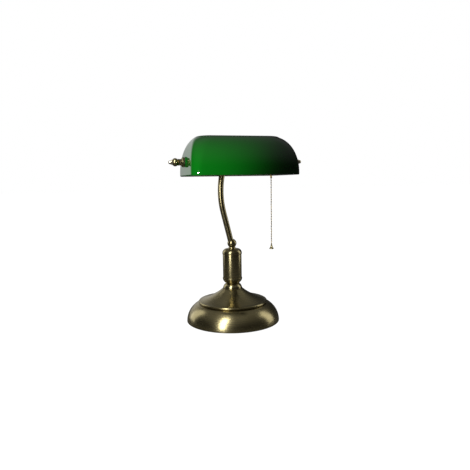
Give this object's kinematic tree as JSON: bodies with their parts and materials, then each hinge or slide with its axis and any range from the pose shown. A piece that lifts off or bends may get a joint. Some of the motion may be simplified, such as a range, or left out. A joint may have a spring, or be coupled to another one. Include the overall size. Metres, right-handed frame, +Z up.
{
  "type": "banker desk lamp",
  "caption": "Desk lamp with a tilting green glass shade on a bowed arm, a bead-chain pull switch and a round weighted brass base.",
  "frame": {"origin": "centre of the base's underside, on the table", "axes": "+Z up, -Y towards the front, X along the shade and its pivot axis"},
  "size_m": [0.248, 0.2125, 0.3494],
  "materials": {
    "antique_brass": "brushed, darkened and lacquered",
    "pale_brass": "polished",
    "plain_brass": "plain",
    "green_glass": "polished, deep green",
    "opal_glass": "frosted white",
    "cap_metal": "satin",
    "steel": "zinc plated",
    "iron": "raw",
    "felt": "felt",
    "moulding": "black",
    "card": "pressed insulating sheet",
    "rubber": "soft black"
  },
  "bodies": {
    "stand": {"felt_pad": "felt", "base_plate": "steel", "base_plate_screws": "steel", "base_weight": "iron", "base_shell": "antique_brass", "cord_grommet": "moulding", "terminal_block": "moulding", "stem_rod": "steel", "stem_washer": "steel", "stem_nut": "steel", "base_collar": "antique_brass", "column_foot": "antique_brass", "column_tube": "antique_brass", "column_cap": "antique_brass", "arm_fitting": "antique_brass", "arm_tube": "antique_brass", "yoke": "antique_brass", "yoke_hub": "antique_brass", "hub_screw": "steel", "left_pivot_bush": "plain_brass", "right_pivot_bush": "plain_brass", "left_bush_nut": "plain_brass", "socket_cap": "antique_brass", "socket_shell": "antique_brass", "shell_liner": "card", "switch_body": "moulding", "drum_pin": "steel", "lamp_thread_shell": "plain_brass", "centre_contact": "plain_brass", "chain_guide": "antique_brass"},
    "shade": {"shade_glass": "green_glass", "left_shade_grommet": "rubber", "right_shade_grommet": "rubber", "left_inner_pad": "felt", "right_inner_pad": "felt"},
    "left_washer": {"left_knob_washer": "antique_brass"},
    "right_washer": {"right_knob_washer": "antique_brass"},
    "left_knob_set": {"left_knob": "antique_brass", "left_knob_stud": "steel", "left_finial_tip": "pale_brass"},
    "right_knob_set": {"right_knob": "antique_brass", "right_knob_stud": "steel", "right_finial_tip": "pale_brass"},
    "bulb": {"bulb_globe": "opal_glass", "bulb_cap": "cap_metal", "bulb_insulator": "moulding", "bulb_contact": "cap_metal"},
    "pull": {"pull_rod": "steel", "pull_spring": "steel"},
    "drum": {"ratchet_drum": "plain_brass"},
    "chain_top": {"chain_coupling": "plain_brass"},
    "chain": {"chain_beads": "plain_brass", "chain_links": "plain_brass", "chain_pull": "antique_brass"}
  },
  "joints": [
    {"name": "shade_tilt", "type": "hinge", "parent": "stand", "child": "shade", "pos_m": [0, -0.046, 0.3045], "axis": [1, 0, 0], "range_deg": [-15, 45]},
    {"name": "left_knob_travel", "type": "slide", "parent": "stand", "child": "left_washer", "axis": [-1, 0, 0], "range_m": [0, 0.0016]},
    {"name": "left_knob_turn", "type": "hinge", "parent": "left_washer", "child": "left_knob_set", "pos_m": [-0.1, -0.046, 0.3045], "axis": [-1, 0, 0], "range_deg": [0, 750]},
    {"name": "right_knob_travel", "type": "slide", "parent": "stand", "child": "right_washer", "axis": [1, 0, 0], "range_m": [0, 0.0016]},
    {"name": "right_knob_turn", "type": "hinge", "parent": "right_washer", "child": "right_knob_set", "pos_m": [0.1, -0.046, 0.3045], "axis": [1, 0, 0], "range_deg": [0, 750]},
    {"name": "bulb_withdraw", "type": "slide", "parent": "stand", "child": "bulb", "axis": [-1, 0, 0], "range_m": [0, 0.028]},
    {"name": "pull_stroke", "type": "slide", "parent": "stand", "child": "pull", "axis": [0, 0, -1], "range_m": [0, 0.008], "stiffness_N_per_m": 400, "springref_m": -0.005, "deforming": ["pull_spring"]},
    {"name": "drum_turn", "type": "hinge", "parent": "stand", "child": "drum", "pos_m": [0.0647, -0.0394, 0.3015], "axis": [1, 0, 0], "range_deg": [0, 60]},
    {"name": "chain_swing", "type": "hinge", "parent": "pull", "child": "chain_top", "pos_m": [0.0647, -0.046, 0.2816], "axis": [1, 0, 0], "range_deg": [-20, 20]},
    {"name": "chain_sway", "type": "hinge", "parent": "chain_top", "child": "chain", "pos_m": [0.0647, -0.046, 0.2733], "axis": [0, 1, 0], "range_deg": [-20, 20]}
  ],
  "couplings": [
    {"joint": "left_knob_turn", "follows": "left_knob_travel", "rad_per_m": 7854},
    {"joint": "right_knob_turn", "follows": "right_knob_travel", "rad_per_m": 7854},
    {"joint": "drum_turn", "follows": "pull_stroke", "rad_per_m": 98.17}
  ]
}
